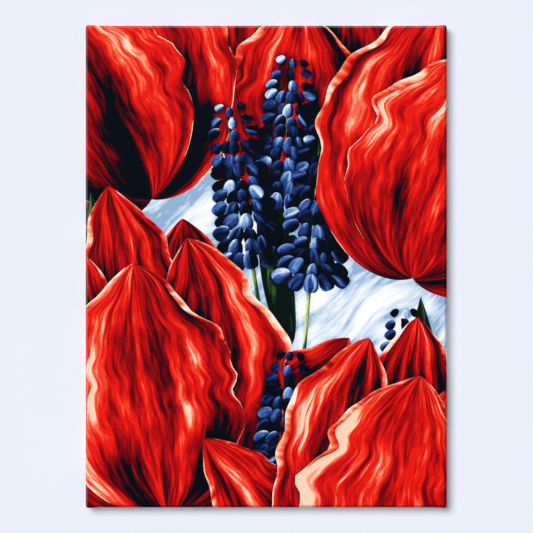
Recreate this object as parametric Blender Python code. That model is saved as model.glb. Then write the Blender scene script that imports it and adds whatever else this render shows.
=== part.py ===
"""A stretched canvas print, 18 by 24 inches, that hangs on a wall.

Seen from the front, +X points right, +Z points up and +Y points into the wall. The origin is where the
wall's nail carries the hanger: the top of its middle notch, in the plane of the wall.
"""

import math

import bmesh
import bpy
from mathutils import Matrix, Vector

# The print as a whole, in metres
WIDTH = 0.4572
HEIGHT = 0.6096
STAND_OFF = 0.0030  # from the wall to the cloth on the back
HANGER_DROP = 0.034  # from the top edge down to the notch that takes the nail

# Cloth
CLOTH = 0.0005
CORNER_RADIUS = 0.004  # seen from the front
FRONT_EDGE_RADIUS = 0.004
BACK_EDGE_RADIUS = 0.0015
FLAP_WIDTH = 0.026  # the cloth that is turned onto the back
CORNER_STEPS = 5
FRONT_EDGE_STEPS = 5
BACK_EDGE_STEPS = 3

# Stretcher bars
BAR_WIDTH = 0.038
BAR_DEPTH = 0.0175
BEAD_WIDTH = 0.006  # the flat outer part of the front that the cloth lies on
FACE_DROP = 0.003  # how far the front slopes back by the inner edge
BAR_CHAMFER = 0.001
SLOT_LEVELS = (0.0065, 0.0100, 0.0135)  # the borders of the two tongue layers, from the bar's front

# Corner keys
KEY_LENGTH = 0.030
KEY_HEAD = 0.008
KEY_TIP = 0.003
KEY_OUT = 0.010  # how far a key's head stands out of the bar's inner edge
KEY_CHAMFER = 0.0004

# Staples
CROWN = 0.0116
LEG = 0.0065
WIRE_WIDTH = 0.0011
WIRE_DEPTH = 0.0006
STAPLE_INSET = 0.013  # from the outer edge to the crown
TOP_STAPLES = 7
TOP_PITCH = 0.055
SIDE_STAPLES = 9
SIDE_PITCH = 0.060

# Sawtooth hanger and its nails
PLATE_LENGTH = 0.046
PLATE_TOP = 0.0075
PLATE_DEPTH = 0.0009
PLATE_LIFT = 0.0019  # how far the middle stands off the tabs
PLATE_CORNER = 0.0015
TAB_LENGTH = 0.008
RAMP_LENGTH = 0.003
TOOTH_PITCH = 0.0025
TOOTH_DEPTH = 0.0015
TEETH = 9
NAIL_SHANK = 0.0008
NAIL_HEAD = 0.0022
NAIL_HEAD_DEPTH = 0.0010
NAIL_LENGTH = 0.010
NAIL_SIDES = 12

# Bumper pads
BUMPER_RADIUS = 0.005
BUMPER_ROUNDING = 0.001
BUMPER_INSET_X = 0.040
BUMPER_INSET_Z = 0.013
BUMPER_SIDES = 24

# Fits
FIT_GAP = 0.0003  # between two pieces that touch
OVERSHOOT = 0.004  # how far a cutter reaches past what it cuts

# Depths, from the wall forwards
FLAP_BACK_Y = -STAND_OFF
FLAP_FRONT_Y = FLAP_BACK_Y - CLOTH
BAR_BACK_Y = FLAP_FRONT_Y - FIT_GAP
BAR_FRONT_Y = BAR_BACK_Y - BAR_DEPTH
PANEL_FRONT_Y = BAR_FRONT_Y - FIT_GAP - CLOTH

# Places that follow from the sizes
CENTRE_Z = HANGER_DROP - HEIGHT / 2
BAR_INSET = CLOTH + FIT_GAP
HALF_WIDTH = WIDTH / 2 - BAR_INSET  # to the bars' outer faces
HALF_HEIGHT = HEIGHT / 2 - BAR_INSET
TURNS = {"top": 0, "right": 90, "bottom": 180, "left": 270}  # each side's turn about Y, in degrees
ENDS = {"left": -1, "right": 1}
CORNERS = ((1, 1), (-1, 1), (-1, -1), (1, -1))


def clear_scene():
    for obj in list(bpy.data.objects):
        bpy.data.objects.remove(obj)


def material(name, colour, roughness, metallic=0.0):
    made = bpy.data.materials.new(name)
    made.use_nodes = True
    shader = made.node_tree.nodes["Principled BSDF"]
    shader.inputs["Base Color"].default_value = (*colour, 1.0)
    shader.inputs["Roughness"].default_value = roughness
    shader.inputs["Metallic"].default_value = metallic
    return made


def add_object(name, bm, finish=None):
    """Turns a bmesh into an object. Without a finish it is a cutter, which doesn't render."""
    bmesh.ops.recalc_face_normals(bm, faces=bm.faces)
    mesh = bpy.data.meshes.new(name)
    bm.to_mesh(mesh)
    bm.free()
    obj = bpy.data.objects.new(name, mesh)
    bpy.context.scene.collection.objects.link(obj)
    if finish:
        mesh.materials.append(finish)
    else:
        obj.hide_render = True
        obj.display_type = "WIRE"
    return obj


def add_boolean(target, other, operation="DIFFERENCE"):
    modifier = target.modifiers.new(other.name, "BOOLEAN")
    modifier.operation = operation
    modifier.solver = "EXACT"
    modifier.object = other


def shade_round(obj, angle=40):
    obj.data.shade_smooth()
    obj.data.set_sharp_from_angle(angle=math.radians(angle))


def draw_out(bm, points, vector):
    """Makes a face of the points and draws it out along the vector into a closed solid."""
    face = bm.faces.new([bm.verts.new(point) for point in points])
    raised = bmesh.ops.extrude_face_region(bm, geom=[face])["geom"]
    corners = [item for item in raised if isinstance(item, bmesh.types.BMVert)]
    bmesh.ops.translate(bm, verts=corners, vec=vector)


def prism(points, low, high):
    """An outline of (x, z) points, drawn out in depth from low to high."""
    bm = bmesh.new()
    draw_out(bm, [(x, low, z) for x, z in points], (0, high - low, 0))
    return bm


def turned(profile, sides):
    """A round solid about Y. The profile's (radius, y) points start and end on the axis."""
    bm = bmesh.new()
    rings = []
    for radius, y in profile:
        if radius == 0:
            rings.append([bm.verts.new((0, y, 0))] * sides)
            continue
        angles = [2 * math.pi * i / sides for i in range(sides)]
        rings.append([bm.verts.new((radius * math.cos(a), y, radius * math.sin(a))) for a in angles])
    for ring, following in zip(rings, rings[1:]):
        for i in range(sides):
            after = (i + 1) % sides
            corners = (ring[i], ring[after], following[after], following[i])
            bm.faces.new(list(dict.fromkeys(corners)))
    return bm


def side_matrix(side):
    """Turns what is made for the top side about the print's centre, onto another side."""
    return Matrix.Translation((0, 0, CENTRE_Z)) @ Matrix.Rotation(math.radians(TURNS[side]), 4, "Y")


def side_halves(side):
    """Half of the side's own length, and its distance from the centre, both to the bars' outer faces."""
    return (HALF_WIDTH, HALF_HEIGHT) if side in ("top", "bottom") else (HALF_HEIGHT, HALF_WIDTH)


def arc(centre, radius, first, last, steps):
    """Points (inset, y) on an arc. An angle of 0 faces outwards, and 90 faces the front."""
    angles = [math.radians(first + (last - first) * i / steps) for i in range(steps + 1)]
    return [(centre[0] - radius * math.cos(a), centre[1] - radius * math.sin(a)) for a in angles]


def edge_arcs(shrink):
    """The rounding of the front edge, then of the back edge, inside the cloth's face by a shrink."""
    front = (FRONT_EDGE_RADIUS, PANEL_FRONT_Y + FRONT_EDGE_RADIUS)
    back = (BACK_EDGE_RADIUS, FLAP_BACK_Y - BACK_EDGE_RADIUS)
    return [
        *arc(front, FRONT_EDGE_RADIUS - shrink, 90, 0, FRONT_EDGE_STEPS),
        *arc(back, BACK_EDGE_RADIUS - shrink, 0, -90, BACK_EDGE_STEPS),
    ]


def outline(inset):
    """The print's outline with round corners, drawn in by an inset. Past their radius they are square."""
    points = []
    for quarter, signs in enumerate(CORNERS):
        sign = Vector(signs)
        corner = Vector((sign.x * (WIDTH / 2 - CORNER_RADIUS), sign.y * (HEIGHT / 2 - CORNER_RADIUS)))
        for step in range(CORNER_STEPS + 1):
            angle = math.radians(90 * (quarter + step / CORNER_STEPS))
            outward = Vector((math.cos(angle), math.sin(angle))) if inset < CORNER_RADIUS else sign
            points.append(corner + (CORNER_RADIUS - inset) * outward)
    return points


def swept(profile):
    """Carries a profile of (inset, y) round the outline, and closes its first and last rings with a face."""
    bm = bmesh.new()
    rings = [[bm.verts.new((x, y, z + CENTRE_Z)) for x, z in outline(inset)] for inset, y in profile]
    for ring, following in zip(rings, rings[1:]):
        for i, vertex in enumerate(ring):
            after = (i + 1) % len(ring)
            bm.faces.new((vertex, ring[after], following[after], following[i]))
    bm.faces.new(rings[0])
    bm.faces.new(rings[-1])
    bmesh.ops.remove_doubles(bm, verts=bm.verts, dist=1e-6)
    return bm


def make_canvas(finish):
    """One cloth over the front, the four sides and a strip of the back, as a thin closed shell."""
    flap = [(FLAP_WIDTH, FLAP_BACK_Y), (FLAP_WIDTH, FLAP_FRONT_Y)]
    profile = edge_arcs(0) + flap + edge_arcs(CLOTH)[::-1]
    canvas = add_object("canvas", swept(profile), finish)
    shade_round(canvas)
    return canvas


def raw_bar(side, finish):
    """A bar before its joints are cut. It stands out past the envelope, which trims and rounds it."""
    half_length, reach = side_halves(side)
    slope = FACE_DROP / (BAR_WIDTH - BEAD_WIDTH)
    inner_front = BAR_FRONT_Y + slope * (BAR_WIDTH - BAR_CHAMFER - BEAD_WIDTH)
    profile = [
        (-OVERSHOOT, BAR_FRONT_Y - slope * (BEAD_WIDTH + OVERSHOOT)),
        (BAR_WIDTH - BAR_CHAMFER, inner_front),
        (BAR_WIDTH, inner_front + BAR_CHAMFER),
        (BAR_WIDTH, BAR_BACK_Y - BAR_CHAMFER),
        (BAR_WIDTH - BAR_CHAMFER - OVERSHOOT, BAR_BACK_Y + OVERSHOOT),
        (-OVERSHOOT, BAR_BACK_Y + OVERSHOOT),
    ]
    end = half_length + OVERSHOOT
    bm = bmesh.new()
    draw_out(bm, [(-end, y, reach - inset) for inset, y in profile], (2 * end, 0, 0))
    return add_object(f"stretcher_bar_{side}", bm, finish)


def mitre_outline(side, end):
    """The triangle past the mitre at a bar's end."""
    half_length, reach = side_halves(side)
    set_back = FIT_GAP / 2 * math.sqrt(2)
    out = half_length + OVERSHOOT - set_back
    across = half_length - BAR_WIDTH - OVERSHOOT - set_back
    low = reach - BAR_WIDTH - OVERSHOOT
    return [(end * out, reach + OVERSHOOT), (end * across, low), (end * out, low)]


def slot_outline(side, end):
    """The slot at a bar's end, which takes the other bar's tongue and the key beside it."""
    half_length, reach = side_halves(side)
    key_at_edge = KEY_HEAD - (KEY_HEAD - KEY_TIP) * KEY_OUT / KEY_LENGTH
    out = half_length + OVERSHOOT
    across = half_length - BAR_WIDTH - 2 * FIT_GAP - key_at_edge
    low = reach - BAR_WIDTH - OVERSHOOT
    high = reach + OVERSHOOT
    return [(end * across, low), (end * out, low), (end * out, high), (end * across, high)]


def joint_cuts(end):
    """(outline function, low, high) of the three cuts at a bar's end, in depth from the bar's front.

    The left end has its tongue in the first layer and its slot in the second. The right end has them
    the other way round, so one shape of bar serves all four sides.
    """
    first, second, third = SLOT_LEVELS
    half_gap = FIT_GAP / 2
    if end < 0:
        slot = (second - half_gap, third + half_gap)
        cheeks = [(-OVERSHOOT, first + half_gap), (sum(slot) / 2, BAR_DEPTH + OVERSHOOT)]
    else:
        slot = (first - half_gap, second + half_gap)
        cheeks = [(-OVERSHOOT, sum(slot) / 2), (third - half_gap, BAR_DEPTH + OVERSHOOT)]
    return [(mitre_outline, *cheek) for cheek in cheeks] + [(slot_outline, *slot)]


def make_bar(side, envelope, finish):
    bar = raw_bar(side, finish)
    bar.matrix_world = side_matrix(side)
    add_boolean(bar, envelope, "INTERSECT")
    for end_name, end in ENDS.items():
        for number, (shape, low, high) in enumerate(joint_cuts(end)):
            bm = prism(shape(side, end), BAR_FRONT_Y + low, BAR_FRONT_Y + high)
            cutter = add_object(f"cut_{side}_{end_name}_{number}", bm)
            cutter.matrix_world = side_matrix(side)
            add_boolean(bar, cutter)
    return bar


def make_key(side, end_name, finish):
    """A wedge in a bar's slot, beside the other bar's tongue, with its head inside the frame."""
    end = ENDS[end_name]
    half_length, reach = side_halves(side)
    edge = half_length - BAR_WIDTH - FIT_GAP
    head = reach - BAR_WIDTH - KEY_OUT
    points = [
        (end * edge, head),
        (end * edge, head + KEY_LENGTH),
        (end * (edge - KEY_TIP), head + KEY_LENGTH),
        (end * (edge - KEY_HEAD), head),
    ]
    low, high = SLOT_LEVELS[1:] if end < 0 else SLOT_LEVELS[:2]
    bm = prism(points, BAR_FRONT_Y + low + FIT_GAP / 2, BAR_FRONT_Y + high - FIT_GAP / 2)
    key = add_object(f"corner_key_{side}_{end_name}", bm, finish)
    key.matrix_world = side_matrix(side)
    bevel = key.modifiers.new("edges", "BEVEL")
    bevel.width = KEY_CHAMFER
    bevel.segments = 1


def staple_places():
    """(name, matrix) of every staple. Its crown lies along its own X, and its own Y is 0 on the flap."""
    places = []
    for side in TURNS:
        count, pitch = (TOP_STAPLES, TOP_PITCH) if side in ("top", "bottom") else (SIDE_STAPLES, SIDE_PITCH)
        reach = side_halves(side)[1] + BAR_INSET - STAPLE_INSET
        for number in range(count):
            along = (number - (count - 1) / 2) * pitch
            place = side_matrix(side) @ Matrix.Translation((along, FLAP_BACK_Y, reach))
            places.append((f"staple_{side}_{number + 1}", place))
    for number, (x_sign, z_sign) in enumerate(CORNERS):
        x = x_sign * (WIDTH / 2 - STAPLE_INSET)
        z = CENTRE_Z + z_sign * (HEIGHT / 2 - STAPLE_INSET)
        turn = Matrix.Rotation(math.radians(x_sign * z_sign * 45), 4, "Y")
        places.append((f"staple_corner_{number + 1}", Matrix.Translation((x, FLAP_BACK_Y, z)) @ turn))
    return places


def staple_bmesh():
    """Flat wire in a U, with cut-off outer bends and sharp leg tips."""
    back = FIT_GAP + WIRE_DEPTH
    half = CROWN / 2
    inside = half - WIRE_DEPTH
    bend = WIRE_DEPTH / 2
    right = [
        (inside, FIT_GAP),
        (inside, FIT_GAP - LEG),
        (half, FIT_GAP - LEG + WIRE_DEPTH),
        (half, back - bend),
        (half - bend, back),
    ]
    left = [(-x, y) for x, y in reversed(right)]
    bm = bmesh.new()
    draw_out(bm, [(x, y, -WIRE_WIDTH / 2) for x, y in right + left], (0, 0, WIRE_WIDTH))
    return bm


def make_staples(finish):
    first = add_object("staple", staple_bmesh(), finish)
    mesh = first.data
    bpy.data.objects.remove(first)
    for name, place in staple_places():
        staple = bpy.data.objects.new(name, mesh)
        bpy.context.scene.collection.objects.link(staple)
        staple.matrix_world = place


def make_leg_holes():
    """One cutter for every staple's legs: through the flap, and blind in the wood behind it."""
    bm = bmesh.new()
    half_x = WIRE_DEPTH / 2 + FIT_GAP
    half_z = WIRE_WIDTH / 2 + FIT_GAP
    depth = LEG + FIT_GAP + OVERSHOOT
    for _, place in staple_places():
        for sign in (-1, 1):
            x = sign * (CROWN - WIRE_DEPTH) / 2
            corners = [(x - half_x, -half_z), (x + half_x, -half_z), (x + half_x, half_z), (x - half_x, half_z)]
            points = [place @ Vector((px, OVERSHOOT, pz)) for px, pz in corners]
            draw_out(bm, points, (0, -depth, 0))
    return add_object("cut_leg_holes", bm)


def plate_y(x):
    """The hanger's bar side at a place along it: flat on the wood at its tabs, and raised between them."""
    tab = BAR_BACK_Y + FIT_GAP
    ramp = (PLATE_LENGTH / 2 - TAB_LENGTH - abs(x)) / RAMP_LENGTH
    return tab + PLATE_LIFT * min(1, max(0, ramp))


def plate_stations():
    """(x, low z, high z) along the hanger, from its left end to its right end."""
    half = PLATE_LENGTH / 2
    tab_end = half - TAB_LENGTH
    tooth_tip = -TOOTH_DEPTH
    rounding = PLATE_CORNER * (1 - math.sqrt(0.5))
    left = [
        (-half, tooth_tip + PLATE_CORNER, PLATE_TOP - PLATE_CORNER),
        (-half + rounding, tooth_tip + rounding, PLATE_TOP - rounding),
        (-half + PLATE_CORNER, tooth_tip, PLATE_TOP),
        (-tab_end, tooth_tip, PLATE_TOP),
        (-tab_end + RAMP_LENGTH, tooth_tip, PLATE_TOP),
    ]
    teeth = []
    for step in range(-TEETH, TEETH + 1):
        low = 0 if step % 2 == 0 else tooth_tip
        teeth.append((step * TOOTH_PITCH / 2, low, PLATE_TOP))
    return left + teeth + [(-x, low, high) for x, low, high in reversed(left)]


def make_hanger(finish):
    bm = bmesh.new()
    rings = []
    for x, low, high in plate_stations():
        front = plate_y(x)
        back = front + PLATE_DEPTH
        corners = ((x, front, low), (x, back, low), (x, back, high), (x, front, high))
        rings.append([bm.verts.new(corner) for corner in corners])
    for ring, following in zip(rings, rings[1:]):
        for i in range(4):
            after = (i + 1) % 4
            bm.faces.new((ring[i], ring[after], following[after], following[i]))
    bm.faces.new(rings[0])
    bm.faces.new(rings[-1])
    return add_object("hanger", bm, finish)


def nail_place(end):
    return (end * (PLATE_LENGTH - TAB_LENGTH) / 2, (PLATE_TOP - TOOTH_DEPTH) / 2)


def make_nail(end_name, finish):
    """A small nail with a domed head, which holds one tab of the hanger."""
    seat = BAR_BACK_Y + 2 * FIT_GAP + PLATE_DEPTH
    profile = [
        (0, seat + NAIL_HEAD_DEPTH),
        (NAIL_HEAD * 0.6, seat + NAIL_HEAD_DEPTH * 0.85),
        (NAIL_HEAD, seat + NAIL_HEAD_DEPTH * 0.3),
        (NAIL_HEAD, seat),
        (NAIL_SHANK, seat),
        (NAIL_SHANK, seat - NAIL_LENGTH + 2 * NAIL_SHANK),
        (0, seat - NAIL_LENGTH),
    ]
    nail = add_object(f"hanger_nail_{end_name}", turned(profile, NAIL_SIDES), finish)
    x, z = nail_place(ENDS[end_name])
    nail.location = (x, 0, z)
    shade_round(nail)


def make_nail_hole(end_name):
    radius = NAIL_SHANK + FIT_GAP
    deepest = BAR_BACK_Y - NAIL_LENGTH
    profile = [(0, OVERSHOOT), (radius, OVERSHOOT), (radius, deepest), (0, deepest)]
    hole = add_object(f"cut_nail_hole_{end_name}", turned(profile, NAIL_SIDES))
    x, z = nail_place(ENDS[end_name])
    hole.location = (x, 0, z)
    return hole


def make_bumper(end_name, finish):
    """A rubber pad on the bottom flap. Its flat face touches the wall."""
    front = FLAP_BACK_Y + FIT_GAP
    profile = [
        (0, 0),
        (BUMPER_RADIUS - BUMPER_ROUNDING, 0),
        (BUMPER_RADIUS - BUMPER_ROUNDING * 0.3, -BUMPER_ROUNDING * 0.3),
        (BUMPER_RADIUS, -BUMPER_ROUNDING),
        (BUMPER_RADIUS, front),
        (0, front),
    ]
    bumper = add_object(f"bumper_{end_name}", turned(profile, BUMPER_SIDES), finish)
    x = ENDS[end_name] * (WIDTH / 2 - BUMPER_INSET_X)
    bumper.location = (x, 0, CENTRE_Z - HEIGHT / 2 + BUMPER_INSET_Z)
    shade_round(bumper)


def build():
    clear_scene()
    cloth = material("printed_canvas", (0.52, 0.03, 0.02), 0.7)
    pine = material("stretcher_pine", (0.72, 0.52, 0.30), 0.6)
    key_wood = material("key_beech", (0.62, 0.42, 0.25), 0.55)
    wire = material("staple_wire", (0.62, 0.63, 0.65), 0.35, 1.0)
    plated = material("hanger_steel", (0.70, 0.66, 0.55), 0.3, 1.0)
    rubber = material("bumper_rubber", (0.08, 0.08, 0.08), 0.6)

    envelope = add_object("frame_envelope", swept(edge_arcs(BAR_INSET)))
    leg_holes = make_leg_holes()
    canvas = make_canvas(cloth)
    add_boolean(canvas, leg_holes)
    bars = {side: make_bar(side, envelope, pine) for side in TURNS}
    for bar in bars.values():
        add_boolean(bar, leg_holes)
    hanger = make_hanger(plated)
    for end_name in ENDS:
        nail_hole = make_nail_hole(end_name)
        add_boolean(bars["top"], nail_hole)
        add_boolean(hanger, nail_hole)
        make_nail(end_name, wire)
        make_bumper(end_name, rubber)
        for side in TURNS:
            make_key(side, end_name, key_wood)
    make_staples(wire)


build()
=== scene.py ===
"""The looks of a stretched canvas print on a pale wall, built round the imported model."""

import math

import bpy
import numpy as np
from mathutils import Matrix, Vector
from mathutils.geometry import delaunay_2d_cdt


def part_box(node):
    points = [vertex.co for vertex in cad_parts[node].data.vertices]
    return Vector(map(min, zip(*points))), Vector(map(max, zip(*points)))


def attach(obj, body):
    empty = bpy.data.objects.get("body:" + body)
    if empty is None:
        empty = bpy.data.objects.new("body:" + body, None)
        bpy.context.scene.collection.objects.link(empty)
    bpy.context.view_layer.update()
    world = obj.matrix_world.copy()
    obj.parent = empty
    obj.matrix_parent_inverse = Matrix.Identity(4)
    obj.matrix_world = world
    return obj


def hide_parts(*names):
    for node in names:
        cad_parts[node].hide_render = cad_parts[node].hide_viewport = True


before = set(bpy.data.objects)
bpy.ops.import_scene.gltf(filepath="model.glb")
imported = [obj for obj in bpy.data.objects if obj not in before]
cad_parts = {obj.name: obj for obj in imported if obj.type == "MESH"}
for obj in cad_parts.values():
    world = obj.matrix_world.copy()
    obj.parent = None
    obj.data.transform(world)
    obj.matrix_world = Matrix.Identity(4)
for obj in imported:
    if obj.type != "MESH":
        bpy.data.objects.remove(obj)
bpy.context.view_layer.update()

# The cloth's sizes, in metres, from the frame and from how the cloth is cut
LOW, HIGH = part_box("canvas")
WIDTH, DEPTH, HEIGHT = HIGH - LOW
CENTRE_Z = (LOW.z + HIGH.z) / 2
FRONT_Y = LOW.y
BAND = 0.0029  # the sloping band that borders the front, seen from the front
BEND = 0.0008  # the radius of the bends on both its sides
EDGE = BAND + BEND * math.tan(math.pi / 8)  # from the outline in to where the front is flat
BACK_RADIUS = 0.0015
FLAP_WIDTH = 0.026
CLOTH = 0.00033
HALF_U = WIDTH / 2 - EDGE  # the flat part of the front
HALF_V = HEIGHT / 2 - EDGE

# The way over an edge, measured along the cloth from the flat part of the front
BEND_ARC = BEND * math.pi / 4
SLOPE = BAND * math.sqrt(2) - 2 * BEND * math.tan(math.pi / 8)
SLOPE_END = BEND_ARC + SLOPE
FRONT_ARC = SLOPE_END + BEND_ARC
SIDE_RUN = DEPTH - EDGE - BACK_RADIUS
BACK_ARC = BACK_RADIUS * math.pi / 2
SIDE_END = FRONT_ARC + SIDE_RUN
FLAP_START = SIDE_END + BACK_ARC
CUT_EDGE = FLAP_START + FLAP_WIDTH - BACK_RADIUS
PRINT_LAP = 0.0075  # how far the print runs on over the flap
PRINT_END = FLAP_START + PRINT_LAP  # from here bare cloth goes on to the cut edge

# The corner folds, where the cloth of the top and bottom lies over that of the two sides
FOLD_TURN = 0.75  # how far the fold's edge lies round the corner, as an angle
MOST_TURN = 1.2  # no cloth of the upper layer goes further round than this
HEM = 0.0030  # cloth turned under at the fold's edge
HEM_RADIUS = 0.00036
TONGUE = 0.0040  # how far the lower layer goes on past the corner
TONGUE_RUN = 0.004  # over this length before the flap it comes back to the corner
FOLD_LIFT = 0.00085  # how far the doubled cloth stands off the layer below
FOLD_RUN = 0.016  # over this length the top layer rises to it

# The flaps behind
FLAP_LIFT = 0.00030  # how far the doubled cloth stands off there
FLAP_PRESS = 0.00060  # how far the lower flap is pressed onto the wood there
MITRE_RUN = 0.006  # over this length beside the corner's mitre it goes down to there
FLAP_REST = 0.00020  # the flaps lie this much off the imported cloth's back
PUFF = 0.00028  # and puff up by this much more between the staples
STAPLE_SPREAD = 0.010  # so far from a staple they are held down
SETTLE = 0.003  # over this length past the bend a flap comes to its own height
CUT_WAVER = 0.0007  # how far the cut edges stray from a straight line
CUT_WAVER_SIZE = 0.02  # the scale of those waves

# The loose threads along the cut edges
THREADS = 130
THREAD_RADIUS = 0.00013
UPRIGHT_SHARE = 0.57  # the share of them that is on the two upright flaps
THREAD_LENGTH = 0.0022  # the shortest
THREAD_GROWTH = 0.008  # what the longest has beyond that
THREAD_ROOT = 0.0012  # how far inside the cut edge a thread starts
THREAD_RISE = 0.0005  # how far a thread's end can stand off
CORNER_ROOM = 0.03  # no thread starts so near a corner

# The grid of the flat cloth
GRID = 0.0048
SHARP = 0.0003  # so near a bend, an extra line of points keeps the flat cloth beside it flat
FLAP_LINES = (0.0015, 0.0040)  # how far past the bend the flap's first two lines are
CUT_LINE = 0.0005  # how far the last line but one lies from the cut edge
SAME_POINT = 2e-6  # points no further apart than this are one
CORNER_SIGNS = ((1, 1), (-1, 1), (-1, -1), (1, -1))

# The plain weave
WEAVE_PITCH = 0.0007
WEAVE_WOBBLE = 0.00012

# The photograph's view: straight on, through a long lens
FRAME_WIDTH = 0.6742  # what the picture's width shows, at the print's front
CAMERA_X = 0.0003
LENS = 150.0
SENSOR = 36.0

# The pale wall
WALL_COLOUR = (236, 241, 251)
WALL_SIZE = 12.0
WALL_Y = 0.0004  # a little behind the pads

# The lights: a wide sun from the upper left, a small one straight from the front, and the world
KEY = 2.54
KEY_DIRECTION = (0.38, 1.0, -0.36)
KEY_DEGREES = 33
FILL = 0.56
FILL_DIRECTION = (0.0, 1.0, 0.0)
FILL_DEGREES = 4
WORLD = 0.11

# The two strips that shine on the left and top edges
SHINE_AWAY = 1.3
SHINE_LENGTH = 1.2
SHINE_WIDTH = 0.016
SHINE_POWER = 110

# The two square lights behind: name, x, y, height over the print's centre, width and power
BACK_LIGHTS = (("back", -0.21, 1.1, 0.28, 0.4, 6.5), ("back_low", 0.20, 1.2, -0.28, 0.3, 3.5))


def smooth(x):
    x = np.clip(x, 0, 1)
    return x * x * (3 - 2 * x)


def linear(red, green, blue):
    """A display colour in 0 to 255, as linear light."""
    values = [c / 255 for c in (red, green, blue)]
    return tuple(v / 12.92 if v <= 0.04045 else ((v + 0.055) / 1.055) ** 2.4 for v in values)


class Tree:
    """Adds shader nodes to a material. Most methods return the new node's output socket."""

    def __init__(self, name):
        self.material = bpy.data.materials.new(name)
        self.material.use_nodes = True
        self.tree = self.material.node_tree
        self.shader = self.tree.nodes["Principled BSDF"]

    def node(self, kind, **settings):
        made = self.tree.nodes.new(kind)
        for key, value in settings.items():
            setattr(made, key, value)
        return made

    def feed(self, socket, value):
        if isinstance(value, bpy.types.NodeSocket):
            self.tree.links.new(value, socket)
        elif isinstance(value, tuple) and len(value) == 3 and len(socket.default_value) == 4:
            socket.default_value = (*value, 1.0)
        else:
            socket.default_value = value

    def math(self, operation, *values, clamp=False):
        made = self.node("ShaderNodeMath", operation=operation, use_clamp=clamp)
        for socket, value in zip(made.inputs, values):
            self.feed(socket, value)
        return made.outputs[0]

    def total(self, *terms):
        """The sum of value times weight, for each (value, weight)."""
        result = 0.0
        for value, weight in terms:
            result = self.math("MULTIPLY_ADD", value, weight, result)
        return result

    def attribute(self, name):
        return self.node("ShaderNodeAttribute", attribute_name=name).outputs["Vector"]

    def parts(self, vector):
        made = self.node("ShaderNodeSeparateXYZ")
        self.feed(made.inputs[0], vector)
        return made.outputs

    def place(self):
        """The point's own coordinates, which are the world's, because each piece sits at the origin."""
        return self.parts(self.node("ShaderNodeTexCoord").outputs["Object"])

    def combine(self, x, y, z):
        made = self.node("ShaderNodeCombineXYZ")
        for socket, value in zip(made.inputs, (x, y, z)):
            self.feed(socket, value)
        return made.outputs[0]

    def noise(self, x, y, z, detail=2.0, distortion=0.0):
        """Noise whose grain is about one unit of each coordinate, from -1 to 1 or a little less."""
        made = self.node("ShaderNodeTexNoise")
        self.feed(made.inputs["Vector"], self.combine(x, y, z))
        self.feed(made.inputs["Scale"], 1.0)
        self.feed(made.inputs["Detail"], detail)
        self.feed(made.inputs["Distortion"], distortion)
        return self.math("MULTIPLY_ADD", made.outputs["Fac"], 2.0, -1.0)

    def grain(self, x, y, z, sizes, **settings):
        """Noise with a grain of the given sizes, in metres."""
        scaled = [self.math("DIVIDE", value, size) for value, size in zip((x, y, z), sizes)]
        return self.noise(*scaled, **settings)

    def ramp(self, value, colours, stops=None, steps=False):
        """A colour ramp of display colours, evenly spaced unless their places are given."""
        made = self.node("ShaderNodeValToRGB")
        made.color_ramp.interpolation = "CONSTANT" if steps else "LINEAR"
        elements = made.color_ramp.elements
        elements.remove(elements[1])
        stops = stops or [number / (len(colours) - 1) for number in range(len(colours))]
        for number, (stop, colour) in enumerate(zip(stops, colours)):
            element = elements.new(stop) if number else elements[0]
            element.position = stop
            element.color = (*linear(*colour), 1.0)
        self.feed(made.inputs[0], value)
        return made.outputs[0]

    def inks(self, value, inks):
        """Flat colours, each from its own value up to the next one's."""
        stops, colours = zip(*inks)
        return self.ramp(value, colours, stops, steps=True)

    def mix(self, factor, a, b):
        made = self.node("ShaderNodeMix", data_type="RGBA")
        self.feed(made.inputs[0], factor)
        self.feed(made.inputs[6], a)
        self.feed(made.inputs[7], b)
        return made.outputs[2]

    def bump(self, height, distance):
        """A bump whose height of 1 stands the distance off the surface."""
        made = self.node("ShaderNodeBump")
        self.feed(made.inputs["Height"], height)
        self.feed(made.inputs["Strength"], 1.0)
        self.feed(made.inputs["Distance"], distance)
        return made.outputs[0]

    def surface(self, **values):
        """Sets or links the shader's sockets. An underscore in a name stands for a space."""
        for key, value in values.items():
            self.feed(self.shader.inputs[key.replace("_", " ")], value)
        return self.material


# The picture: generic tulips, bluebells and leaves on a pale ground. Its plane has u to the right and v
# up, in metres from the print's centre. Each shape covers the ones before it.
GROUND, PETAL, LIP, LEAF, BELL, MARGIN = range(6)
OUTLINE_STEP = 0.006
LIP_STEP = 0.004
LEAST_BEND = 0.02  # a straight axis would have no hub
GROUND_ACROSS = 2.3  # the directions across and along the ground's strokes, as angles
GROUND_ALONG = 0.73
GROUND_TONE = 0.62
SHADE_SPREAD = {PETAL: 0.014, LEAF: 0.004, BELL: 0.004}  # how far a shape shades those behind it
SHADE_SHIFT = 0.45  # the shade lies to one side by this share of that
SHADE_DIRECTION = 2.2  # towards the light of the picture, as an angle
NO_RIM = 0.02  # so far from its edge, no rim is drawn on a shape
# The waves of a petal's edge: the size of each, its turns along the petal and its share of the phase
RUFFLE_WAVES = ((1.0, 17, 1.0), (0.6, 31, 2.3), (0.35, 57, 3.1))
PETAL_RUFFLE = 0.075
BASE_SHADE = 0.26  # how much darker a petal is at its base
BASE_REACH = 0.55  # the share of the petal that this takes


def unit(angle):
    return np.array((math.cos(angle), math.sin(angle)))


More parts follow.
